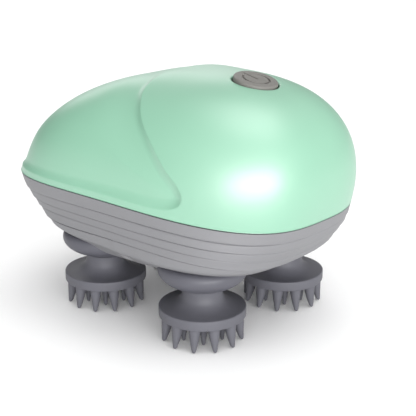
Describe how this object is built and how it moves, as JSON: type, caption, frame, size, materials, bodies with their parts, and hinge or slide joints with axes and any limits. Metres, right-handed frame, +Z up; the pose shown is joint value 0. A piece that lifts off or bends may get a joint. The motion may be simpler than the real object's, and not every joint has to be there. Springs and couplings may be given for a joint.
{
  "type": "electric pet massage brush",
  "caption": "Palm-sized electric massage brush: egg-shaped two-part casing with a top button, over geared rotating silicone heads with tapered spikes.",
  "frame": {"origin": "centre of the object on the plane that its spike tips rest on", "axes": "+X along the long axis towards the tail, where the button is; +Y to the left; +Z up"},
  "size_m": [0.1216, 0.0976, 0.0923],
  "materials": {
    "mint_shell": "satin-gloss moulded ABS, mint green",
    "grey_shell": "satin moulded ABS, light grey",
    "grey_button": "satin warm grey plastic",
    "silicone": "matte dark grey silicone",
    "seal_rubber": "matte dark rubber",
    "gear_nylon": "natural nylon",
    "frame_plastic": "black moulded plastic",
    "steel": "plain steel",
    "bronze": "sintered bronze",
    "cell_wrap": "shrink wrap over a metal can",
    "board_green": "solder mask on glass-fibre board"
  },
  "bodies": {
    "casing": {"battery_cell": "cell_wrap", "battery_tray": "frame_plastic", "board_screw_1": "steel", "board_screw_2": "steel", "button_boot": "seal_rubber", "case_screw_1": "steel", "case_screw_2": "steel", "case_screw_3": "steel", "case_screw_4": "steel", "charging_socket": "steel", "circuit_board": "board_green", "gearbox_base": "frame_plastic", "gearbox_cover": "frame_plastic", "gearbox_screw_1": "steel", "gearbox_screw_2": "steel", "gearbox_screw_3": "steel", "gearbox_screw_4": "steel", "head_cup_nose_left": "silicone", "head_cup_nose_right": "silicone", "head_cup_tail_left": "silicone", "head_cup_tail_right": "silicone", "lower_shell": "grey_shell", "motor_can": "steel", "motor_clamp": "frame_plastic", "motor_end_cap": "frame_plastic", "motor_gearhead": "steel", "seam_gasket": "seal_rubber", "shaft_bush_nose_left": "bronze", "shaft_bush_nose_right": "bronze", "shaft_bush_tail_left": "bronze", "shaft_bush_tail_right": "bronze", "shaft_seal_nose_left": "seal_rubber", "shaft_seal_nose_right": "seal_rubber", "shaft_seal_tail_left": "seal_rubber", "shaft_seal_tail_right": "seal_rubber", "sun_axle": "steel", "tact_switch": "frame_plastic", "upper_shell": "mint_shell"},
    "sun_drive": {"sun_gear": "gear_nylon"},
    "pinion_drive": {"drive_pinion": "gear_nylon", "motor_output_shaft": "steel"},
    "button": {"power_button": "grey_button"},
    "charge_plug": {"socket_plug": "seal_rubber"},
    "head_tail_left": {"output_shaft_tail_left": "steel", "output_gear_tail_left": "gear_nylon", "massage_head_tail_left": "silicone"},
    "head_nose_left": {"output_shaft_nose_left": "steel", "output_gear_nose_left": "gear_nylon", "massage_head_nose_left": "silicone"},
    "head_nose_right": {"output_shaft_nose_right": "steel", "output_gear_nose_right": "gear_nylon", "massage_head_nose_right": "silicone"},
    "head_tail_right": {"output_shaft_tail_right": "steel", "output_gear_tail_right": "gear_nylon", "massage_head_tail_right": "silicone"}
  },
  "joints": [
    {"name": "sun_spin", "type": "hinge", "parent": "casing", "child": "sun_drive", "pos_m": [0, 0, 0.0366], "axis": [0, 0, 1], "continuous": true},
    {"name": "head_spin_tail_left", "type": "hinge", "parent": "casing", "child": "head_tail_left", "pos_m": [0.0254, 0.0235, 0.0366], "axis": [0, 0, 1], "continuous": true},
    {"name": "head_spin_nose_left", "type": "hinge", "parent": "casing", "child": "head_nose_left", "pos_m": [-0.0254, 0.0235, 0.0366], "axis": [0, 0, 1], "continuous": true},
    {"name": "head_spin_nose_right", "type": "hinge", "parent": "casing", "child": "head_nose_right", "pos_m": [-0.0254, -0.0235, 0.0366], "axis": [0, 0, 1], "continuous": true},
    {"name": "head_spin_tail_right", "type": "hinge", "parent": "casing", "child": "head_tail_right", "pos_m": [0.0254, -0.0235, 0.0366], "axis": [0, 0, 1], "continuous": true},
    {"name": "pinion_spin", "type": "hinge", "parent": "casing", "child": "pinion_drive", "pos_m": [0.03216, 0, 0.0366], "axis": [0, 0, 1], "continuous": true},
    {"name": "button_press", "type": "slide", "parent": "casing", "child": "button", "axis": [-0.225, 0, -0.9744], "range_m": [0, 0.0006], "stiffness_N_per_m": 400, "springref_m": -0.0005},
    {"name": "plug_pull", "type": "slide", "parent": "casing", "child": "charge_plug", "axis": [-1, 0, 0], "range_m": [0, 0.004]}
  ],
  "couplings": [
    {"joint": "head_spin_tail_left", "follows": "sun_spin", "ratio": -2.9286},
    {"joint": "head_spin_nose_left", "follows": "sun_spin", "ratio": -2.9286},
    {"joint": "head_spin_nose_right", "follows": "sun_spin", "ratio": -2.9286},
    {"joint": "head_spin_tail_right", "follows": "sun_spin", "ratio": -2.9286},
    {"joint": "pinion_spin", "follows": "sun_spin", "ratio": -4.1}
  ]
}
